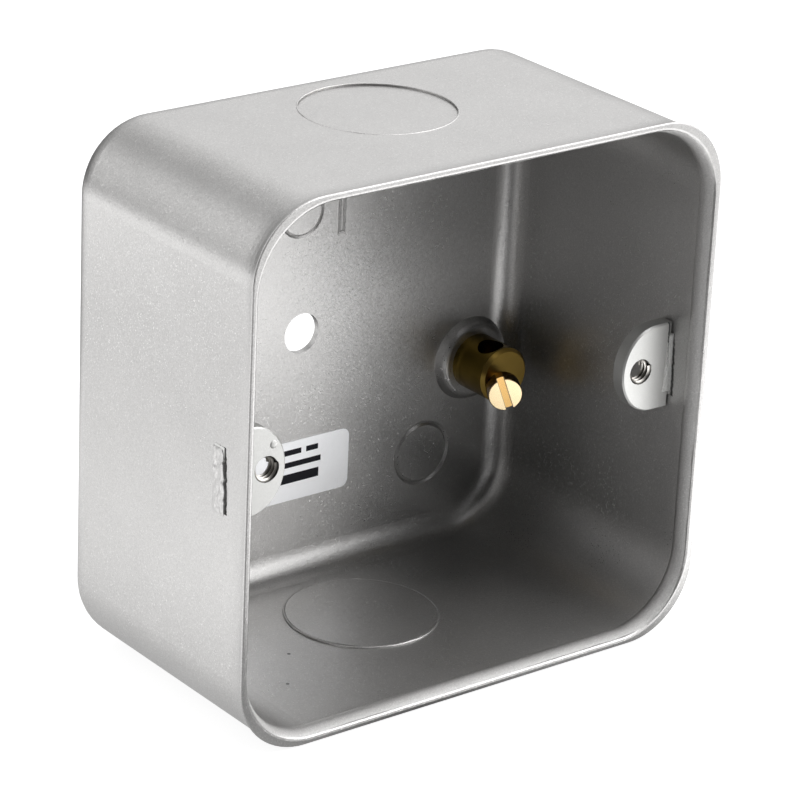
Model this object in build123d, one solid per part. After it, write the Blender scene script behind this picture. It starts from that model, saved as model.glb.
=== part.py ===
from build123d import *
import math
import os

# One-gang back box for surface wiring: a deep-drawn steel box with an open front.
# Millimetres. X runs to the right seen from the open front, Y into the wall, Z up.
# The origin is the centre of the rear fixing hole, on the outer face of the back,
# so the whole box lies at Y <= 0 and its mouth opens towards -Y.
# A "depth" below is a distance forward from the outer face of the back.

# Drawn shell
BOX_WIDTH = 73.0
BOX_HEIGHT = 72.2
BOX_DEPTH = 40.6
SHEET = 1.0
PLAN_CORNER_R = 9.75        # outside radius of the four upright corners
INNER_CORNER_R = 10.2       # inside radius, larger than it would be in even sheet:
                            # drawing gathers metal in the corners
BACK_FILLET_R = 3.35        # inside radius between the back and the walls

# Mouth: the last few millimetres of the walls curl outwards
LIP_LENGTH = 4.1
LIP_FLARE = 0.38
LIP_STEPS = 5
RIM_ROUND_OUTSIDE = 0.2
RIM_ROUND_INSIDE = 0.5
ROUND_STEPS = 3             # flats that stand for a small round

# Rear fixing hole and the small coined ring at lower right
FIXING_HOLE_R = 2.82
COIN_X = 21.4
COIN_Z = -22.25
COIN_R = 4.75
COIN_WIDTH = 0.7
COIN_DEPTH = 0.25

# Conduit knockouts: half-sheared discs in the top and bottom walls, pushed inwards
KNOCKOUT_R = 10.33
KNOCKOUT_DEPTH = 16.5
TOP_KNOCKOUT_X = -0.85      # the upper disc sits a little to the left of the middle
KNOCKOUT_PUSH = 0.25
KNOCKOUT_SHEAR = 0.12       # how much smaller the disc is than the hole it left

# Plain stamped figure high on the back: a ring and an upright bar
STAMP_DEPTH = 0.14
STAMP_LINE = 0.55
STAMP_RING_R = 3.6
STAMP_X = -0.6
STAMP_Z = 17.2
BAR_OFFSET = 6.6
BAR_WIDTH = 1.3
BAR_HEIGHT = 8.4

# Fixing lugs: plates with a tongue staked through a slot in each side wall
LUG_CENTRES = 60.3          # standard distance between the two accessory screws
LUG_SETBACK = 5.45          # front face of the lugs behind the rim
LUG_THICK = 2.0
LUG_HALF_HEIGHT = 6.0
LUG_NOSE = 2.95             # from the screw hole to the rounded tip
LUG_NOSE_LENGTH = 5.3       # length of the rounded part
LUG_WALL_GAP = 0.2
LUG_SCREW_R = 1.75          # M3.5, tapped
LUG_EDGE_CHAMFER = 0.2
TONGUE_HALF_HEIGHT = 4.3
SLOT_END_GAP = 0.1
SLOT_FRONT_GAP = 0.85

# Earth terminal, riveted into a pressed seat
TERMINAL_INSET = 6.4        # the pillar's centre from the inside of the right wall
TERMINAL_Z = -9.6
SEAT_R = 6.05
SEAT_HEIGHT = 1.3
SEAT_SLOPE = 30.0           # degrees between the seat's wall and its axis
SEAT_ROUND = 0.9
SEAT_WALL = 0.85
PILLAR_R = 3.95
PILLAR_LENGTH = 6.6
PILLAR_CHAMFER = 0.45
SPIGOT_R = 1.7
SPIGOT_FIT = 0.05
RIVET_HEAD_R = 3.1
RIVET_HEAD_THICK = 0.85
RIVET_HEAD_CHAMFER = 0.35
WIRE_HOLE_R = 1.8
WIRE_HOLE_DEPTH = 4.1       # centre of the wire hole in front of the seat
WIRE_HOLE_LEAN = 12.0       # degrees that its mouth leans to the left of up

# Clamping screw, set at an angle so that a driver reaches it past the wall
SCREW_TURN = 29.4           # degrees that the axis turns to the left of straight out
SCREW_DIP = 2.9             # degrees that it points down
SCREW_ENTRY_X = -0.68       # where the axis meets the pillar's face, from its centre
SCREW_ENTRY_Z = -0.78
SCREW_R = 1.5
SCREW_FIT = 0.05
SCREW_LENGTH = 4.8
SCREW_TIP_CHAMFER = 0.3
SCREW_BORE_EXTRA = 0.3
SCREW_HEAD_R = 2.36
SCREW_HEAD_THICK = 2.4
SCREW_HEAD_CHAMFER = 0.12
SCREW_HEAD_CLEAR = 0.3      # between the driven-in head and the pillar's face
SCREW_SLOT_WIDTH = 1.1
SCREW_SLOT_DEPTH = 0.9
SCREW_SLOT_ANGLE = -70.6    # degrees, seen from the head

# Stick-on label on the inside of the back
LABEL_WIDTH = 18.0
LABEL_HEIGHT = 8.7
LABEL_THICK = 0.15
LABEL_CORNER_R = 1.2
LABEL_X = -0.5
LABEL_Z = -19.75

# Places that follow from the sizes above
WALL_X = BOX_WIDTH / 2 - SHEET
TERMINAL_X = WALL_X - TERMINAL_INSET
LUG_FRONT = BOX_DEPTH - LUG_SETBACK
LUG_BACK = LUG_FRONT - LUG_THICK
SEAT_FACE = SHEET + SEAT_HEIGHT
PILLAR_FACE = SEAT_FACE + PILLAR_LENGTH


def plan(width, height, corner, depth):
    """Rounded rectangle, seen from the front, at a depth."""
    return Plane.XZ.offset(depth) * RectangleRounded(width, height, corner)


def arc(radius, start, end):
    """Points on a round about (0, 0), from one angle to another in degrees."""
    angles = [math.radians(start + (end - start) * k / ROUND_STEPS)
              for k in range(ROUND_STEPS + 1)]
    return [(radius * math.cos(a), radius * math.sin(a)) for a in angles]


def mouth(rim_round, side):
    """(depth, growth) of the curled lip, whose rim rounds outwards (1) or inwards (-1)."""
    lip_start = BOX_DEPTH - LIP_LENGTH
    length = LIP_LENGTH - rim_round
    lip = [(lip_start + length * k / LIP_STEPS, LIP_FLARE * (k / LIP_STEPS) ** 3)
           for k in range(LIP_STEPS + 1)]
    rim = [(BOX_DEPTH - rim_round + rise, LIP_FLARE + side * (rim_round - across))
           for across, rise in arc(rim_round, 0, 90)]
    return lip + rim[1:]


def block(inset, corner, start, round_back, rim_round, side):
    """Solid with the outline of the walls, set in by inset, with the curled mouth."""
    width, height = BOX_WIDTH - 2 * inset, BOX_HEIGHT - 2 * inset
    lip_start = BOX_DEPTH - LIP_LENGTH
    body = extrude(plan(width, height, corner, start), amount=lip_start - start)
    body = fillet(edges_at(body, start), round_back)
    sections = [plan(width + 2 * grow, height + 2 * grow, corner + grow, depth)
                for depth, grow in mouth(rim_round, side)]
    for pair in zip(sections, sections[1:]):
        body += loft(pair, ruled=True)
    return body


def edges_at(body, depth):
    """The edges of a solid that lie at a depth."""
    return body.edges().filter_by(lambda e: abs(e.center().Y + depth) < 1e-4)


def turned(points, x, z):
    """Solid of revolution about the -Y line through (x, z), from (radius, depth) points."""
    profile = make_face(Polyline(*[(r, -d) for r, d in points], close=True))
    return revolve(Plane(origin=(x, 0, z)) * profile, Axis((x, 0, z), (0, 1, 0)), 360)


def ring_groove(x, z, outer, width, sink):
    """Cutter for a round V-groove in the inside of the back."""
    inner = outer - width
    return turned([(inner, SHEET), (outer - width / 2, SHEET - sink), (outer, SHEET),
                   (outer, 2 * SHEET), (inner, 2 * SHEET)], x, z)


def knockout(solid, x, side):
    """Half-shear one conduit disc in the top (side 1) or bottom (side -1) wall."""
    outside = side * BOX_HEIGHT / 2
    inside = side * (BOX_HEIGHT / 2 - SHEET)
    push = KNOCKOUT_PUSH
    hollow = Cylinder(KNOCKOUT_R, push)
    disc = Cylinder(KNOCKOUT_R - KNOCKOUT_SHEAR, push)
    solid -= Pos(x, -KNOCKOUT_DEPTH, outside - side * push / 2) * hollow
    return solid + Pos(x, -KNOCKOUT_DEPTH, inside - side * push / 2) * disc


def seat_radius(depth):
    """Inside radius of the pressed seat's sloping wall at a depth."""
    return SEAT_R - (depth - SHEET) * math.tan(math.radians(SEAT_SLOPE))


def press_seat(solid):
    """Raise the round seat of the earth terminal and hollow it from behind."""
    root = SHEET / 2
    turn = math.radians(90 - SEAT_SLOPE)
    edge_r = seat_radius(SEAT_FACE) - SEAT_ROUND * math.tan(turn / 2)
    edge = [(edge_r + across, SEAT_FACE - SEAT_ROUND + rise)
            for across, rise in arc(SEAT_ROUND, SEAT_SLOPE, 90)]
    raised = turned([(0, root), (seat_radius(root), root), *edge, (0, SEAT_FACE)],
                    TERMINAL_X, TERMINAL_Z)
    wall = SEAT_WALL / math.cos(math.radians(SEAT_SLOPE))
    behind = -SHEET
    hollow = turned([(0, behind), (seat_radius(behind) - wall, behind),
                     (seat_radius(SEAT_HEIGHT) - wall, SEAT_HEIGHT), (0, SEAT_HEIGHT)],
                    TERMINAL_X, TERMINAL_Z)
    hole = turned([(0, 0), (SPIGOT_R + SPIGOT_FIT, 0),
                   (SPIGOT_R + SPIGOT_FIT, SEAT_FACE + SHEET), (0, SEAT_FACE + SHEET)],
                  TERMINAL_X, TERMINAL_Z)
    return solid + raised - hollow - hole


def stamp(solid):
    """Sink the plain ring and bar into the inside of the back."""
    solid -= ring_groove(STAMP_X, STAMP_Z, STAMP_RING_R, STAMP_LINE, STAMP_DEPTH)

    def outline(grow, depth):
        return Plane.XZ.offset(depth) * Pos(STAMP_X + BAR_OFFSET, STAMP_Z) * Rectangle(
            BAR_WIDTH + 2 * grow, BAR_HEIGHT + 2 * grow)

    middle = -STAMP_LINE / 2
    floor = SHEET - STAMP_DEPTH
    outer = loft([outline(middle, floor), outline(0, SHEET)], ruled=True)
    inner = loft([outline(middle, floor), outline(-STAMP_LINE, SHEET)], ruled=True)
    return solid - (outer - inner)


def box_shell():
    outside = block(0, PLAN_CORNER_R, 0, BACK_FILLET_R + SHEET, RIM_ROUND_OUTSIDE, -1)
    inside = block(SHEET, INNER_CORNER_R, SHEET, BACK_FILLET_R, RIM_ROUND_INSIDE, 1)
    shell = press_seat(outside - inside)
    shell = knockout(knockout(shell, TOP_KNOCKOUT_X, 1), 0, -1)
    shell -= turned([(0, -SHEET), (FIXING_HOLE_R, -SHEET),
                     (FIXING_HOLE_R, 2 * SHEET), (0, 2 * SHEET)], 0, 0)
    shell -= ring_groove(COIN_X, COIN_Z, COIN_R, COIN_WIDTH, COIN_DEPTH)
    shell = stamp(shell)
    slot_length = LUG_THICK + SLOT_FRONT_GAP
    slot = Box(4 * SHEET, slot_length, 2 * (TONGUE_HALF_HEIGHT + SLOT_END_GAP))
    for side in (-1, 1):
        shell -= Pos(side * (WALL_X + SHEET / 2), -(LUG_BACK + slot_length / 2), 0) * slot
    return shell


def right_lug():
    hole_x = LUG_CENTRES / 2
    nose_x = hole_x - LUG_NOSE + LUG_NOSE_LENGTH
    edge_x = WALL_X - LUG_WALL_GAP
    nose = Pos(nose_x, 0) * Ellipse(LUG_NOSE_LENGTH, LUG_HALF_HEIGHT)
    heel = Pos((nose_x + edge_x) / 2, 0) * Rectangle(edge_x - nose_x, 2 * LUG_HALF_HEIGHT)
    beyond = Pos(edge_x + LUG_NOSE_LENGTH, 0) * Rectangle(
        2 * LUG_NOSE_LENGTH, 3 * LUG_HALF_HEIGHT)
    face = (nose + heel) - beyond
    plate = extrude(Plane.XZ.offset(LUG_BACK) * face, amount=LUG_THICK)
    plate = chamfer(edges_at(plate, LUG_FRONT), LUG_EDGE_CHAMFER)
    tongue_x = BOX_WIDTH / 2
    tongue_start = edge_x - LUG_EDGE_CHAMFER
    tongue = Pos((tongue_start + tongue_x) / 2, -(LUG_BACK + LUG_THICK / 2), 0) * Box(
        tongue_x - tongue_start, LUG_THICK, 2 * TONGUE_HALF_HEIGHT)
    hole = turned([(0, LUG_BACK - 1), (LUG_SCREW_R, LUG_BACK - 1),
                   (LUG_SCREW_R, LUG_FRONT + 1), (0, LUG_FRONT + 1)], hole_x, 0)
    return plate + tongue - hole


def screw_axis():
    """Unit vector out along the clamping screw, and its point on the pillar's face."""
    turn, dip = math.radians(SCREW_TURN), math.radians(SCREW_DIP)
    out = Vector(-math.sin(turn) * math.cos(dip), -math.cos(turn) * math.cos(dip),
                 -math.sin(dip))
    entry = Vector(TERMINAL_X + SCREW_ENTRY_X, -PILLAR_FACE, TERMINAL_Z + SCREW_ENTRY_Z)
    return out, entry


def screw_plane():
    """Plane under the screw's head, its Z out along the screw and its X level."""
    out, entry = screw_axis()
    tilt = math.acos(-out.Y)
    gap = SCREW_HEAD_R * math.tan(tilt) + SCREW_HEAD_CLEAR
    level = Vector(0, 0, 1).cross(out)
    return Plane(origin=entry + out * gap, x_dir=level, z_dir=out)


def terminal_pillar():
    chamfer_start = PILLAR_FACE - PILLAR_CHAMFER
    head_back = SEAT_HEIGHT - RIVET_HEAD_THICK
    pillar = turned([
        (0, PILLAR_FACE), (PILLAR_R - PILLAR_CHAMFER, PILLAR_FACE),
        (PILLAR_R, chamfer_start), (PILLAR_R, SEAT_FACE), (SPIGOT_R, SEAT_FACE),
        (SPIGOT_R, SEAT_HEIGHT), (RIVET_HEAD_R, SEAT_HEIGHT),
        (RIVET_HEAD_R, head_back + RIVET_HEAD_CHAMFER),
        (RIVET_HEAD_R - RIVET_HEAD_CHAMFER, head_back), (0, head_back),
    ], TERMINAL_X, TERMINAL_Z)
    wire_hole = Pos(TERMINAL_X, -(SEAT_FACE + WIRE_HOLE_DEPTH), TERMINAL_Z) * Rot(
        0, -WIRE_HOLE_LEAN, 0) * Cylinder(WIRE_HOLE_R, 4 * PILLAR_R)
    reach = SCREW_LENGTH + SCREW_BORE_EXTRA
    bore = screw_plane() * Pos(0, 0, -reach / 2) * Cylinder(SCREW_R + SCREW_FIT, reach)
    return pillar - wire_hole - bore


def terminal_screw():
    head = Pos(0, 0, SCREW_HEAD_THICK / 2) * Cylinder(SCREW_HEAD_R, SCREW_HEAD_THICK)
    head = chamfer(head.edges().group_by(Axis.Z)[-1], SCREW_HEAD_CHAMFER)
    shank = Pos(0, 0, -SCREW_LENGTH / 2) * Cylinder(SCREW_R, SCREW_LENGTH)
    shank = chamfer(shank.edges().group_by(Axis.Z)[0], SCREW_TIP_CHAMFER)
    slot = Pos(0, 0, SCREW_HEAD_THICK) * Rot(0, 0, SCREW_SLOT_ANGLE) * Box(
        4 * SCREW_HEAD_R, SCREW_SLOT_WIDTH, 2 * SCREW_SLOT_DEPTH)
    return screw_plane() * (head + shank - slot)


def label():
    face = Plane.XZ.offset(SHEET) * Pos(LABEL_X, LABEL_Z) * RectangleRounded(
        LABEL_WIDTH, LABEL_HEIGHT, LABEL_CORNER_R)
    return extrude(face, amount=LABEL_THICK)


right = right_lug()
pieces = {
    "box_shell": box_shell(),
    "right_fixing_lug": right,
    "left_fixing_lug": mirror(right, about=Plane.YZ),
    "earth_terminal_pillar": terminal_pillar(),
    "earth_terminal_screw": terminal_screw(),
    "rating_label": label(),
}
os.makedirs("parts", exist_ok=True)
for name, piece in pieces.items():
    export_step(piece, f"parts/{name}.step")
    box = piece.bounding_box()
    print(name, len(piece.solids()), round(piece.volume, 2), box.min, box.max)
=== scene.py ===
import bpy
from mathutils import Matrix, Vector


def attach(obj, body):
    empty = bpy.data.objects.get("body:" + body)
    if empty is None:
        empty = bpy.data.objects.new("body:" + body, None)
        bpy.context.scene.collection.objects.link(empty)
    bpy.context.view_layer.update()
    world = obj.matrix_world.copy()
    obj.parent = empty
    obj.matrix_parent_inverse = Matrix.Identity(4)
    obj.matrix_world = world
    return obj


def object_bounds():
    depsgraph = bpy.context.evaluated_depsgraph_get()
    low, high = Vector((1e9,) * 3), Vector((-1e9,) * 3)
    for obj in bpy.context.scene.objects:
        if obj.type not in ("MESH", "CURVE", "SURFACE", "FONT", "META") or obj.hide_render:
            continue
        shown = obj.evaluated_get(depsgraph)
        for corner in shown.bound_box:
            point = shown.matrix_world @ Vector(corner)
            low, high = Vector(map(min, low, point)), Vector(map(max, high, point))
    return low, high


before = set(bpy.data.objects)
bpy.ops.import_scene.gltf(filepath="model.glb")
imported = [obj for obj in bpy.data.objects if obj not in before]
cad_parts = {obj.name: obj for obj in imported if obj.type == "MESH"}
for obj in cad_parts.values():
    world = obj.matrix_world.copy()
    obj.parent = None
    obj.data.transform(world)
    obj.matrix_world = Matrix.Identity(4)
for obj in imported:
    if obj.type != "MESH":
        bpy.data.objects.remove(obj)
cad_box = [list(corner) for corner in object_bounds()]

import math

import bmesh
import bpy
from mathutils import Matrix, Vector, noise

MM = 0.001

# Places in the box: X to the right, Y into the wall, Z up, from the rear fixing hole
LUG_HOLE_X = 30.15 * MM
LUG_HOLE_R = 1.75 * MM
LUG_FRONT = -35.15 * MM
LUG_BACK = -33.15 * MM
PIP_CENTRE = (-29.1 * MM, LUG_FRONT + 0.02 * MM, 3.1 * MM)
LABEL_CENTRE = (-0.5 * MM, -19.75 * MM)
PILLAR_AXIS = (29.1 * MM, -9.6 * MM)
KNOCKOUT_Y = -16.5 * MM

# The clamping screw: middle of its seat, its way out, and a level line across it
SCREW_SEAT = Vector((27.6175, -10.3242, -10.4628)) * MM
SCREW_OUT = Vector((-0.490275, -0.870098, -0.050593))
SCREW_LEVEL = Vector((0.871214, -0.490904, 0))
SLOT_TURN = math.radians(-70.6)

ENAMEL_ROUGHNESS = 0.34
ENAMEL_METALLIC = 0.8

# Specks of dirt in the shell's enamel: place and reach in millimetres
SPECKS = (
    ((-15.25, -21.1, -35.1), 0.3),
    ((-20.4, -28.0, -35.1), 0.3),
    ((-28.4, -31.8, -35.1), 0.25),
    ((29.7, -39.6, 34.5), 0.35),
    ((30.3, -39.6, 34.2), 0.35),
    ((30.9, -39.6, 33.85), 0.4),
)

# Bars on the label: left, right, low and high edge in millimetres from its centre
LABEL_BARS = (
    (-3.9, 1.0, 2.35, 3.15),
    (1.8, 3.8, 2.35, 3.15),
    (-3.7, 4.3, 0.55, 1.35),
    (-3.4, 4.0, -1.75, -0.4),
)

# The camera: its angles in degrees, the point it aims at and its distance in millimetres
VIEW_AZIMUTH, VIEW_ELEVATION, VIEW_ROLL = -38.368, 22.611, 2.674
VIEW_CENTRE = Vector((2.158, -20.0, -3.303))
VIEW_DISTANCE = 490.466
LENS, SENSOR = 169.31, 36

# Soft fields of light in the sky: azimuth, elevation and spread in degrees, and strength.
# Azimuth 0 lies behind the box and 90 to its right.
SKY = (
    (75, 8, 22, 0.69),
    (90, 8, 22, 0.84),
    (105, 8, 22, 0.97),
    (120, 8, 22, 1.11),
    (135, 8, 22, 1.32),
    (150, 8, 22, 1.39),
    (165, 8, 22, 0.68),
    (75, 30, 28, 0.81),
    (95, 30, 28, 1.05),
    (115, 30, 28, 1.19),
    (135, 30, 28, 1.39),
    (155, 30, 28, 0.95),
    (80, 52, 34, 1.1),
    (110, 52, 34, 1.45),
    (140, 52, 34, 1.34),
    (120, 78, 40, 1.55),
    (240, 70, 40, 0.6),
    (-60, 12, 50, 1.16),
    (60, 12, 50, 0.51),
    (-70, 42, 50, 1.08),
    (10, 42, 50, 0.42),
    (50, 42, 50, 0.77),
)

# Soft pools of light on the floor: x, y and radius in millimetres, and strength
FLOOR = (
    (60, -75, 50, 2.92),
    (20, -80, 50, 2.31),
    (-20, -80, 50, 0.14),
    (100, -60, 50, 2.05),
    (105, -115, 55, 2.37),
    (60, -130, 55, 2.46),
    (0, -140, 60, 1.2),
    (210, -150, 130, 2.14),
    (120, -270, 140, 2.22),
    (0, -320, 150, 1.64),
    (-80, -20, 80, 1.72),
    (-60, 60, 80, 1.47),
    (40, 70, 90, 0.32),
    (110, 0, 80, 1.27),
    (-220, -40, 180, 2.47),
    (150, 200, 180, 0.32),
    (-150, 200, 180, 2.02),
    (260, -20, 180, 1.56),
    (-450, 150, 400, 2.82),
    (350, 450, 400, 0.32),
    (550, -150, 400, 1.76),
    (250, -650, 400, 2.07),
)
FLOOR_RADIUS = 1.2
FLOOR_GAP = 0.2 * MM


class Value:
    """A number that varies over a surface; Python's operators add the Math nodes."""

    def __init__(self, graph, socket):
        self.graph = graph
        self.socket = socket

    def _with(self, operation, *values):
        node = self.graph.node("ShaderNodeMath", {"operation": operation},
                               dict(enumerate(values)))
        return Value(self.graph, node.outputs[0])

    def __add__(self, other):
        return self._with("ADD", self, other)

    __radd__ = __add__

    def __sub__(self, other):
        return self._with("SUBTRACT", self, other)

    def __rsub__(self, other):
        return self._with("SUBTRACT", other, self)

    def __mul__(self, other):
        return self._with("MULTIPLY", self, other)

    __rmul__ = __mul__

    def __truediv__(self, other):
        return self._with("DIVIDE", self, other)

    def __lt__(self, other):
        return self._with("LESS_THAN", self, other)

    def __gt__(self, other):
        return self._with("GREATER_THAN", self, other)

    def __pow__(self, other):
        return self._with("POWER", self, other)

    def __abs__(self):
        return self._with("ABSOLUTE", self)

    def most(self, other):
        return self._with("MAXIMUM", self, other)

    def ramp(self, low, high, at_low=0.0, at_high=1.0):
        """Moves smoothly from at_low to at_high while this value goes from low to high."""
        node = self.graph.node("ShaderNodeMapRange", {"interpolation_type": "SMOOTHSTEP"},
                               {"Value": self, "From Min": low, "From Max": high,
                                "To Min": at_low, "To Max": at_high})
        return Value(self.graph, node.outputs["Result"])


class Graph:
    """The nodes of a material or of the world."""

    def __init__(self, owner):
        owner.use_nodes = True
        self.tree = owner.node_tree
        self.tree.nodes.clear()

    def node(self, kind, settings=None, inputs=None):
        """Adds a node: its settings first, then its inputs' values or links."""
        node = self.tree.nodes.new(kind)
        for name, value in (settings or {}).items():
            setattr(node, name, value)
        for name, value in (inputs or {}).items():
            if isinstance(value, Value):
                value = value.socket
            if isinstance(value, bpy.types.NodeSocket):
                self.tree.links.new(value, node.inputs[name])
            else:
                node.inputs[name].default_value = value
        return node

    def vector_maths(self, operation, inputs, output="Vector"):
        node = self.node("ShaderNodeVectorMath", {"operation": operation}, inputs)
        return node.outputs[output]

    def camera_sees(self):
        """1 where the camera looks straight at the surface, and 0 for all other rays."""
        return Value(self, self.node("ShaderNodeLightPath").outputs["Is Camera Ray"])


class Finish(Graph):
    """A procedural material with a Principled shader."""

    def __init__(self, name, **constants):
        self.material = bpy.data.materials.new(name)
        super().__init__(self.material)
        self.shader = self.node("ShaderNodeBsdfPrincipled")
        for socket, value in constants.items():
            self.shader.inputs[socket.replace("_", " ")].default_value = value
        self.node("ShaderNodeOutputMaterial", {}, {"Surface": self.shader.outputs[0]})
        self.place = self.node("ShaderNodeTexCoord").outputs["Object"]

    def sets(self, **sockets):
        """Links values or colours to the shader's sockets."""
        for name, value in sockets.items():
            socket = value.socket if isinstance(value, Value) else value
            self.tree.links.new(socket, self.shader.inputs[name.replace("_", " ")])

    def axes(self):
        parts = self.node("ShaderNodeSeparateXYZ", {}, {0: self.place})
        return [Value(self, parts.outputs[letter]) for letter in "XYZ"]

    def noise(self, scale, detail=2.0, roughness=0.5, vector=None):
        """Cloudy noise, scale in features per metre."""
        node = self.node("ShaderNodeTexNoise", {}, {
            "Vector": vector or self.place, "Scale": scale, "Detail": detail,
            "Roughness": roughness})
        return Value(self, node.outputs["Fac"])

    def cells(self, scale):
        """A different colour for each little cell, scale in cells per metre."""
        node = self.node("ShaderNodeTexVoronoi", {"feature": "F1"},
                         {"Vector": self.place, "Scale": scale})
        return node.outputs["Color"]

    def channel(self, colour, letter):
        return Value(self, self.node("ShaderNodeSeparateColor", {}, {0: colour}).outputs[letter])

    def blend(self, mask, first, second):
        """The first colour where the mask is 0, the second where it is 1."""
        node = self.node("ShaderNodeMix", {"data_type": "RGBA"},
                         {"Factor": mask, 6: first, 7: second})
        return node.outputs[2]

    def shade(self, colour, factor):
        """A colour made lighter or darker by a value about 1."""
        grey = self.node("ShaderNodeCombineColor", {}, {0: factor, 1: factor, 2: factor})
        node = self.node("ShaderNodeMix", {"data_type": "RGBA", "blend_type": "MULTIPLY"},
                         {"Factor": 1.0, 6: colour, 7: grey.outputs[0]})
        return node.outputs[2]

    def bump(self, height, distance, normal=None):
        inputs = {"Height": height, "Distance": distance, "Strength": 1.0}
        if normal is not None:
            inputs["Normal"] = normal
        return self.node("ShaderNodeBump", {}, inputs).outputs[0]

    def radius(self, x, z):
        """Distance from a line along Y through (x, z)."""
        across, _, up = self.axes()
        return ((across - x) ** 2 + (up - z) ** 2) ** 0.5

    def along(self, start, direction):
        """How far a point lies from a start along a direction, in millimetres."""
        offset = self.vector_maths("SUBTRACT", {0: self.place, 1: start})
        reach = self.vector_maths("DOT_PRODUCT", {0: offset, 1: direction}, "Value")
        return Value(self, reach) / MM

    def near(self, place, reach):
        """1 close round a point given in millimetres, and 0 beyond reach."""
        gap = self.vector_maths("DISTANCE", {0: self.place, 1: Vector(place) * MM}, "Value")
        return (Value(self, gap) / MM).ramp(reach, reach * 0.6)

    def flakes(self, colour, tilt):
        """A normal that each flake, known by its colour, tips a little its own way."""
        centred = self.vector_maths("SUBTRACT", {0: colour, 1: (0.5, 0.5, 0.5)})
        small = self.vector_maths("SCALE", {0: centred, "Scale": tilt})
        surface = self.node("ShaderNodeNewGeometry").outputs["Normal"]
        tipped = self.vector_maths("ADD", {0: surface, 1: small})
        return self.vector_maths("NORMALIZE", {0: tipped})


def rgb(red, green, blue):
    """A colour written as it shows on screen, 0 to 255."""
    def linear(value):
        value /= 255
        return value / 12.92 if value <= 0.04045 else ((value + 0.055) / 1.055) ** 2.4
    return (linear(red), linear(green), linear(blue), 1.0)


def silver_enamel(name, base, sparkle, marks=(), painted_shade=None,
                  roughness=ENAMEL_ROUGHNESS, metallic=ENAMEL_METALLIC):
    """Grey stoved enamel with fine aluminium flakes, slightly uneven as sprayed."""
    finish = Finish(name, Metallic=metallic, IOR=1.5)
    clouds = finish.noise(110, 3, 0.55) - 0.5
    flake = finish.cells(9000)
    bright = finish.channel(flake, "Blue").ramp(0.93, 0.99) * sparkle
    grain = (finish.channel(flake, "Red") - 0.5) * (0.17 * sparkle)
    speck = (finish.noise(3800, 2, 0.6) - 0.5) * (0.26 * sparkle)
    factor = 0.965 + clouds * 0.1 + grain + speck + bright * 0.24
    for place, reach in marks:
        factor = factor * (1 - finish.near(place, reach) * 0.85)
    # Painted shade: the given mask darkens the colour where shade falls.
    if painted_shade:
        factor = factor * (1 - painted_shade(finish))
    tilt = bright * 0.18 + (0.05 + 0.06 * sparkle)
    ripple = finish.noise(900, 2, 0.5)
    finish.sets(Base_Color=finish.shade(base, factor),
                Roughness=roughness + clouds * 0.08 - bright * 0.06,
                Normal=finish.bump(ripple, 0.004 * MM, finish.flakes(flake, tilt)))
    return finish


def painted_corner_shade(finish):
    """Painted shade: darkens the enamel deep in the corner under the terminal."""
    right, inward, up = (value / MM for value in finish.axes())
    return right.ramp(0, 20) * inward.ramp(-26, -10) * up.ramp(4, -8) * 0.3


def gap_painted_shade(finish):
    """Painted shade in the torn gap beside a staked end, marked on the mesh."""
    mark = finish.node("ShaderNodeAttribute", {"attribute_name": "gap_shade"}).outputs["Fac"]
    return Value(finish, mark) * 0.93


def painted_lug_gap_shade(finish):
    """Painted shade: a dark ragged line for the shaded gap between each lug's plate and its
    hammered tongue, wider at the top.
    """
    right, inward, up = (value / MM for value in finish.axes())
    across = abs(right)
    ragged = (finish.noise(1100, 2, 0.6) - 0.5) * 0.45
    high = up.ramp(4.2, 4.5)
    half_width = 0.07 + high * 0.08
    line = abs(across - 34.72 + ragged).ramp(half_width, half_width * 0.5)
    line = line * up.ramp(-1.5, 2.5)
    beyond = (across + ragged * 0.4).ramp(34.75, 34.85) * high
    return (line * 0.9).most(beyond * 0.45) * inward.ramp(-34.8, -35.0)


def bead_enamel():
    """The shell's enamel, duller and less metallic towards the very edge of the mouth."""
    finish = silver_enamel("bead enamel", rgb(192, 191, 190), 1.0)
    _, inward, _ = finish.axes()
    edge = (inward / MM).ramp(-38.3, -39.9)
    finish.sets(Roughness=ENAMEL_ROUGHNESS + edge * 0.18,
                Metallic=ENAMEL_METALLIC - edge * 0.5)
    return finish


def pillar_brass():
    """Drawn brass rod, dull on its side; its faced end, with turning lines, is a lighter copy of
    the brass, partly its own faced finish and partly painted light.
    """
    finish = Finish("dull brass", Metallic=1.0)
    _, inward, _ = finish.axes()
    end = (inward / MM).ramp(-8.36, -8.44)
    clouds = finish.noise(600, 3, 0.5)
    side = finish.shade(rgb(140, 116, 50), 0.92 + clouds * 0.16)
    # Partly painted light: the end face is a lighter copy of the side's brass.
    face = finish.shade(rgb(178, 148, 76), 0.9 + clouds * 0.2)
    turned = finish.node("ShaderNodeCombineXYZ", {},
                         {0: finish.radius(*PILLAR_AXIS) * 7000, 1: inward * 2500})
    lines = finish.noise(1, 2, 0.6, turned.outputs[0])
    finish.sets(Base_Color=finish.blend(end, side, face), Roughness=0.24 + end * 0.08,
                Normal=finish.bump(lines, 0.006 * MM))
    return finish


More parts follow.
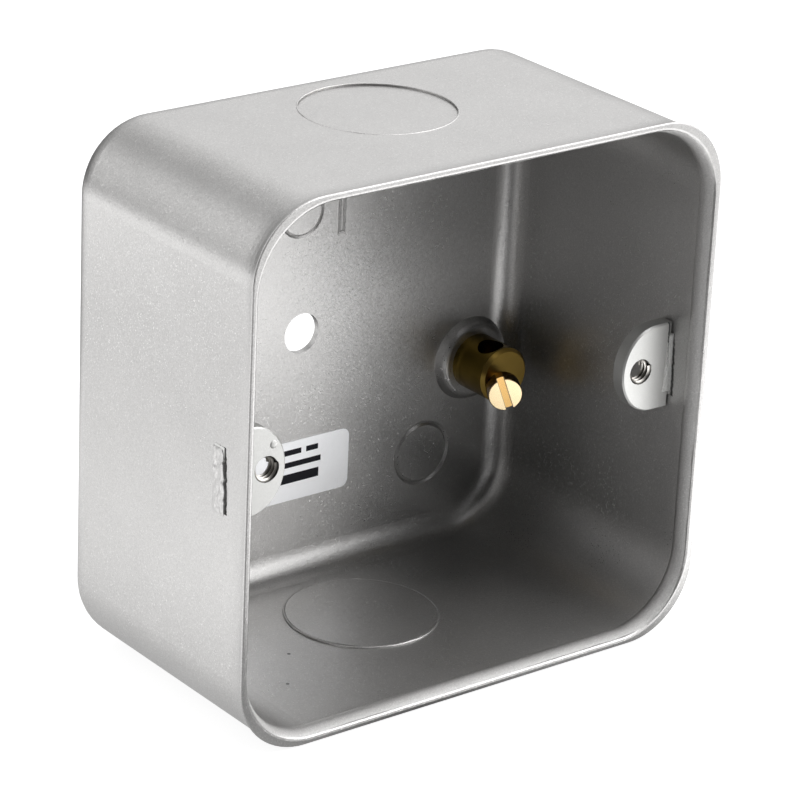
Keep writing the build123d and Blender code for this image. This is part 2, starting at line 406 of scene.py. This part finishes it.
def screw_brass():
    """Clean turned brass, with painted shade on the walls of the slot and in its corners, and a
    darker, more orange shaded copy of it on the slot's floor.
    """
    finish = Finish("bright brass", Metallic=1.0, Roughness=0.24)
    clouds = finish.noise(900, 2, 0.5)
    lift = SCREW_OUT.cross(SCREW_LEVEL)
    slot_side = lift * math.cos(SLOT_TURN) - SCREW_LEVEL * math.sin(SLOT_TURN)
    across = abs(finish.along(SCREW_SEAT, slot_side))
    below = finish.along(SCREW_SEAT, SCREW_OUT).ramp(2.38, 2.3)
    half_slot = 0.58
    # Painted shade: the slot's floor darkens towards its walls, and the walls are dark brown.
    floor = below * (across < half_slot)
    wall = below * (across > half_slot)
    corner = floor * across.ramp(0.36, 0.5) * 0.75
    head = finish.shade(rgb(252, 228, 184), (0.96 + clouds * 0.08) * (1 - corner))
    colour = finish.blend(floor * (1 - corner), head, rgb(230, 186, 118))
    finish.sets(Base_Color=finish.blend(wall, colour, rgb(112, 86, 46)),
                Normal=finish.bump(finish.noise(5000, 1, 0.5), 0.002 * MM))
    return finish


def bare_steel():
    """Cut thread, left unpainted, with painted shade darkening it down towards its valleys."""
    finish = Finish("bare steel", Metallic=1.0, Roughness=0.3)
    clouds = finish.noise(1500, 2, 0.5)
    right, _, up = finish.axes()
    reach = ((abs(right) - LUG_HOLE_X) ** 2 + up ** 2) ** 0.5 / MM
    # Painted shade: darker from the crests down to the roots of the thread.
    valley_shade = reach.ramp(1.4, 1.66, 1, 0.1)
    shine = valley_shade * (0.85 + clouds * 0.3)
    finish.sets(Base_Color=finish.shade(rgb(222, 218, 212), shine))
    return finish


def label_stock():
    """Satin white film with plain bars."""
    finish = Finish("label stock", Roughness=0.42, Metallic=0.95)
    right, _, up = finish.axes()
    across = (right - LABEL_CENTRE[0]) / MM
    height = (up - LABEL_CENTRE[1]) / MM

    ink = 0.0
    for left_edge, right_edge, low, high in LABEL_BARS:
        bar = (across > left_edge) * (across < right_edge) * (height > low) * (height < high)
        ink = bar.most(ink)
    paper = finish.shade(rgb(248, 249, 251), 0.97 + finish.noise(900, 2, 0.5) * 0.06)
    finish.sets(Base_Color=finish.blend(ink, paper, rgb(34, 34, 38)),
                Normal=finish.bump(finish.noise(2200, 2, 0.5), 0.006 * MM))
    return finish


def paint(node, finish):
    """Gives a CAD node a material."""
    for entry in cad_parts[node].material_slots:
        entry.material = finish.material


def rough(*place):
    """Smooth random height at a place, about -1 to 1."""
    return noise.noise(Vector(place))


def fine_cube(cuts):
    """A cube of size 1 with a grid of faces on each side."""
    mesh = bmesh.new()
    bmesh.ops.create_cube(mesh, size=1.0)
    bmesh.ops.subdivide_edges(mesh, edges=mesh.edges[:], cuts=cuts, use_grid_fill=True)
    return mesh


def add_object(name, mesh):
    """Turns a bmesh into an object in the scene."""
    data = bpy.data.meshes.new(name)
    mesh.to_mesh(data)
    mesh.free()
    item = bpy.data.objects.new(name, data)
    bpy.context.scene.collection.objects.link(item)
    return item


def new_piece(name, mesh, finish, smooth=True):
    """Makes a bmesh into a finished piece that rides on the box."""
    bmesh.ops.recalc_face_normals(mesh, faces=mesh.faces[:])
    if mesh.calc_volume(signed=True) < 0:
        bmesh.ops.reverse_faces(mesh, faces=mesh.faces[:])
    piece = add_object(name, mesh)
    piece.data.materials.append(finish.material)
    for polygon in piece.data.polygons:
        polygon.use_smooth = smooth
    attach(piece, "box")


def thread(name, x, finish):
    """V-thread inside a lug's hole, a little ragged from the tap."""
    steps, pitch, margin = 40, 0.6 * MM, 0.08 * MM
    root, crest = LUG_HOLE_R + 0.04 * MM, 1.34 * MM
    root_half = pitch * 0.49
    crest_half = root_half * 0.12
    start = Vector((x, LUG_BACK - margin, 0))
    mesh = bmesh.new()
    corners = [mesh.verts.new(start + Vector((reach, -along, 0)))
               for reach, along in ((root, -root_half), (crest, -crest_half),
                                    (crest, crest_half), (root, root_half))]
    ring = [mesh.edges.new((corners[i - 1], corners[i])) for i in (1, 2, 3, 0)]
    turns = (LUG_BACK - LUG_FRONT - 2 * margin) / pitch
    bmesh.ops.spin(mesh, geom=corners + ring, cent=start, axis=(0, -1, 0),
                   dvec=Vector((0, -pitch / steps, 0)), angle=math.tau * turns,
                   steps=round(steps * turns), use_merge=False)
    bmesh.ops.holes_fill(mesh, edges=mesh.edges[:], sides=4)
    for vert in mesh.verts:
        reach = Vector((vert.co.x - x, 0, vert.co.z))
        if reach.length < 1.6 * MM:
            vert.co += reach.normalized() * 0.035 * MM * noise.noise(vert.co * 1800)
    new_piece(name, mesh, finish, smooth=False)


def tongue_burr(name, side, finish):
    """Rough ridge where the hammering pushed up the lug's metal beside the wall."""
    inner_low, inner_high, outer = 34.27, 34.78, 35.68
    top, bottom = 4.36, 3.75
    lug_front = 35.15
    mesh = fine_cube(23)
    for vert in mesh.verts:
        up = vert.co.z + 0.5
        inner = inner_low + (inner_high - inner_low) * up + 0.16 * rough(3, 5, up * 9)
        edge = outer - 0.06 * up + 0.05 * rough(8, 2, up * 12)
        across = inner + (edge - inner) * (vert.co.x + 0.5)
        height = top * up - bottom * (1 - up)
        lump = rough(across * 2.3, height * 1.4, 0)
        lump += 0.9 * rough(across * 5, height * 4, 3)
        rise = (0.18 + 0.07 * lump) * (0.5 - vert.co.y) - 0.1
        vert.co = Vector((side * across, -(lug_front + rise), height)) * MM
    new_piece(name, mesh, finish)


def staked_end(name, side, finish):
    """The hammered end of a lug's tongue in its slot, with the torn gap beside it."""
    half_height, tongue_top = 4.95, 4.18
    slot_back, slot_length = 32.7, 3.34
    wall_inside, wall_thick = 35.57, 0.93
    mesh = fine_cube(47)
    gap_shade = mesh.verts.layers.float.new("gap_shade")
    for vert in mesh.verts:
        out, front, up = vert.co.x + 0.5, 0.5 - vert.co.y, vert.co.z * 2
        height, depth = up * half_height, slot_back + slot_length * front

        # How far beyond the tongue's torn front and top edges, with a rounded corner
        waver = 0.3 * rough(5, 1, up * 3.5) + 0.16 * rough(2, 8, up * 11)
        past = depth - min(35.46 - 0.06 * height, 35.6) - waver
        above = height - tongue_top - 0.1 * rough(depth * 2, 4, 4)
        edge = (max(0, past + 1) ** 6 + max(0, above + 1) ** 6) ** (1 / 6) - 1
        gap_width = 0.12 + 0.2 * min(1, max(0, 1 + past * 2))
        gap = max(0, 1 - (edge / gap_width) ** 2)

        # Hammer marks on the tongue that fade out to its edges and the slot's ends
        lump = rough(depth * 0.9, height * 0.55, 4)
        lump += 0.45 * rough(depth * 2.2, height * 1.6, 9)
        inside = min(1, 8 * front) * min(1, 10 * (1 - abs(up)))
        fade = min(1, max(0, -edge) / 0.5) * inside
        rise = (0.17 + 0.28 * lump) * fade - 0.45 * gap - 0.06 * (1 - inside)
        # Painted shade: the mark set here darkens the enamel in the torn gap.
        vert[gap_shade] = gap ** 0.6
        vert.co = Vector((side * (wall_inside + (wall_thick + rise) * out),
                          -depth, height)) * MM
    new_piece(name, mesh, finish)


def pip(name, finish):
    """Small raised dot on a lug's face, left by the punch."""
    mesh = bmesh.new()
    bmesh.ops.create_uvsphere(mesh, u_segments=24, v_segments=16, radius=1.0)
    bmesh.ops.scale(mesh, verts=mesh.verts, vec=(0.6 * MM, 0.16 * MM, 0.55 * MM))
    bmesh.ops.translate(mesh, verts=mesh.verts, vec=PIP_CENTRE)
    new_piece(name, mesh, finish)


def seam(name, x, z, radius, thick, finish):
    """Fine raised line round a half-sheared knockout, where the sheet tore a little."""
    mesh = bmesh.new()
    bmesh.ops.create_circle(mesh, segments=8, radius=thick,
                            matrix=Matrix.Translation((x + radius, KNOCKOUT_Y, z))
                            @ Matrix.Rotation(math.radians(90), 4, "X"))
    bmesh.ops.spin(mesh, geom=mesh.verts[:] + mesh.edges[:], cent=(x, KNOCKOUT_Y, z),
                   axis=(0, 0, 1), angle=math.tau, steps=180, use_merge=True)
    bmesh.ops.remove_doubles(mesh, verts=mesh.verts[:], dist=0.001 * MM)
    for vert in mesh.verts:
        vert.co += Vector((0.03, 0.03, 0.05)) * MM * noise.noise(vert.co * 700)
    new_piece(name, mesh, finish)


def mouth_line(along):
    """A place round the mouth, in millimetres, for a number from 0 to 1.

    It lies a sheet's thickness out from the inside of the walls. With it come the way
    outwards there and how far into a corner it is.
    """
    half_x, half_z, corner = 25.3, 24.9, 11.2
    bend = corner * math.pi / 2
    lengths = (2 * half_z, bend, 2 * half_x, bend) * 2
    centres = [Vector((x * half_x, 0, z * half_z))
               for x, z in ((1, 1), (-1, 1), (-1, -1), (1, -1))]
    place = along * sum(lengths)
    part = 0
    while place > lengths[part] and part < 7:
        place -= lengths[part]
        part += 1
    share = min(1, place / lengths[part])
    side, bending = divmod(part, 2)
    turn = math.radians(90 * (side + bending * share))
    spot = centres[side - (1 - bending)].lerp(centres[side], share)
    way = Vector((math.cos(turn), 0, math.sin(turn)))
    return spot + way * corner, way, bending * math.sin(math.pi * share)


def rim_bead(name, finish):
    """Thick enamel that gathered round the edge of the mouth, fuller in the corners."""
    length, inner_width, outer_width = 1.3, 0.5, 0.4
    sunk, middle_depth = 0.5, 39.3
    flare, upright = 0.3, 0.954
    mesh = bmesh.new()
    bmesh.ops.create_grid(mesh, x_segments=640, y_segments=28, size=0.5)
    for vert in mesh.verts:
        spot, way, bent = mouth_line(min(1, max(0, vert.co.x + 0.5)))
        full = 1 + 0.2 * noise.noise(spot * 0.09) + 0.1 * noise.noise(spot * 0.4) + 0.15 * bent
        turn = math.tau * (vert.co.y + 0.5)
        width = inner_width * full if math.sin(turn) < 0 else outer_width
        long, short = length * math.cos(turn), width * math.sin(turn)
        grow = flare * long + upright * short - sunk
        depth = middle_depth + upright * long - flare * short
        vert.co = (spot + way * grow - Vector((0, depth, 0))) * MM
    bmesh.ops.remove_doubles(mesh, verts=mesh.verts[:], dist=0.002 * MM)
    new_piece(name, mesh, finish)


def camera():
    """The photograph's viewpoint."""
    azimuth, elevation, roll = (
        math.radians(angle) for angle in (VIEW_AZIMUTH, VIEW_ELEVATION, VIEW_ROLL))
    back = Vector((math.sin(azimuth) * math.cos(elevation),
                   -math.cos(azimuth) * math.cos(elevation), math.sin(elevation)))
    level = Vector((math.cos(azimuth), math.sin(azimuth), 0))
    upright = back.cross(level)
    right = level * math.cos(roll) + upright * math.sin(roll)
    up = upright * math.cos(roll) - level * math.sin(roll)
    data = bpy.data.cameras.new("camera")
    data.lens = LENS
    data.sensor_width = SENSOR
    data.clip_start, data.clip_end = 0.01, 20
    item = bpy.data.objects.new("camera", data)
    turn = Matrix((right, up, back)).transposed().to_4x4()
    item.matrix_world = Matrix.Translation(VIEW_CENTRE * MM + back * VIEW_DISTANCE * MM) @ turn
    bpy.context.scene.collection.objects.link(item)
    bpy.context.scene.camera = item


def aim(azimuth, elevation):
    """Direction in degrees: 0 is straight into the wall, 90 to the right."""
    azimuth, elevation = math.radians(azimuth), math.radians(elevation)
    return Vector((math.sin(azimuth) * math.cos(elevation),
                   math.cos(azimuth) * math.cos(elevation), math.sin(elevation)))


def surroundings():
    """White to the camera, and soft fields of light for the box."""
    world = bpy.data.worlds.new("studio")
    bpy.context.scene.world = world
    sky = Graph(world)
    direction = sky.node("ShaderNodeTexCoord").outputs["Generated"]
    level = 0.0
    for azimuth, elevation, spread, strength in SKY:
        dot = sky.vector_maths("DOT_PRODUCT", {0: direction, 1: aim(azimuth, elevation)},
                               "Value")
        edge = math.cos(math.radians(spread))
        level = Value(sky, dot).ramp(edge, 1) * strength + level
    background = sky.node("ShaderNodeBackground", {},
                          {"Strength": level.most(sky.camera_sees())})
    sky.node("ShaderNodeOutputWorld", {}, {"Surface": background.outputs[0]})


def pale_floor(height):
    """Pale to the camera, with soft pools of light for the box."""
    material = bpy.data.materials.new("floor")
    ground = Graph(material)
    place = ground.node("ShaderNodeTexCoord").outputs["Object"]
    level = 0.0
    for x, y, radius, strength in FLOOR:
        gap = ground.vector_maths("DISTANCE", {0: place, 1: (x * MM, y * MM, height)}, "Value")
        level = Value(ground, gap).ramp(radius * MM, 0) * strength + level
    pools = ground.node("ShaderNodeEmission", {}, {"Strength": level})
    soft = ground.node("ShaderNodeBsdfDiffuse", {}, {"Color": (0.3, 0.3, 0.3, 1)})
    glow = ground.node("ShaderNodeEmission", {}, {"Strength": 0.86})
    pale = ground.node("ShaderNodeAddShader", {}, {0: soft.outputs[0], 1: glow.outputs[0]})
    mix = ground.node("ShaderNodeMixShader", {}, {
        0: ground.camera_sees(), 1: pools.outputs[0], 2: pale.outputs[0]})
    ground.node("ShaderNodeOutputMaterial", {}, {"Surface": mix.outputs[0]})
    return material


def studio():
    """Pale floor under the box and white surroundings, without lamps."""
    bpy.context.scene.view_settings.view_transform = "Standard"
    surroundings()
    height = cad_box[0][2] - FLOOR_GAP
    mesh = bmesh.new()
    bmesh.ops.create_circle(mesh, cap_ends=True, segments=64, radius=FLOOR_RADIUS)
    bmesh.ops.translate(mesh, verts=mesh.verts, vec=(0, 0, height))
    floor = add_object("floor", mesh)
    floor.data.materials.append(pale_floor(height))


grey = rgb(188, 187, 186)
# The shell's enamel carries painted shade deep in the corner under the terminal.
shell_paint = silver_enamel("silver enamel", grey, 1.0, SPECKS, painted_corner_shade)
bead_paint = bead_enamel()
# The burr and lug enamels carry painted shade along the gap beside each lug's tongue.
burr_paint = silver_enamel("burr enamel", rgb(215, 215, 213), 0.8, painted_shade=painted_lug_gap_shade,
                           roughness=0.5, metallic=0.3)
staked_paint = silver_enamel("staked enamel", grey, 1.0, painted_shade=gap_painted_shade)
lug_paint = silver_enamel("lug enamel", rgb(203, 203, 201), 0.2, painted_shade=painted_lug_gap_shade,
                          roughness=0.43)
paint("box_shell", shell_paint)
paint("left_fixing_lug", lug_paint)
paint("right_fixing_lug", lug_paint)
paint("earth_terminal_pillar", pillar_brass())
paint("earth_terminal_screw", screw_brass())
paint("rating_label", label_stock())

steel = bare_steel()
for word, side in (("left", -1), ("right", 1)):
    thread(f"{word}_lug_thread", side * LUG_HOLE_X, steel)
    tongue_burr(f"{word}_tongue_burr", side, burr_paint)
    staked_end(f"{word}_staked_end", side, staked_paint)
pip("left_lug_pip", lug_paint)
seam("top_knockout_seam", -0.85 * MM, 36.07 * MM, 10.27 * MM, 0.09 * MM, shell_paint)
seam("bottom_knockout_seam", 0, -35.02 * MM, 10.36 * MM, 0.17 * MM, shell_paint)
rim_bead("rim_bead", bead_paint)

studio()
camera()
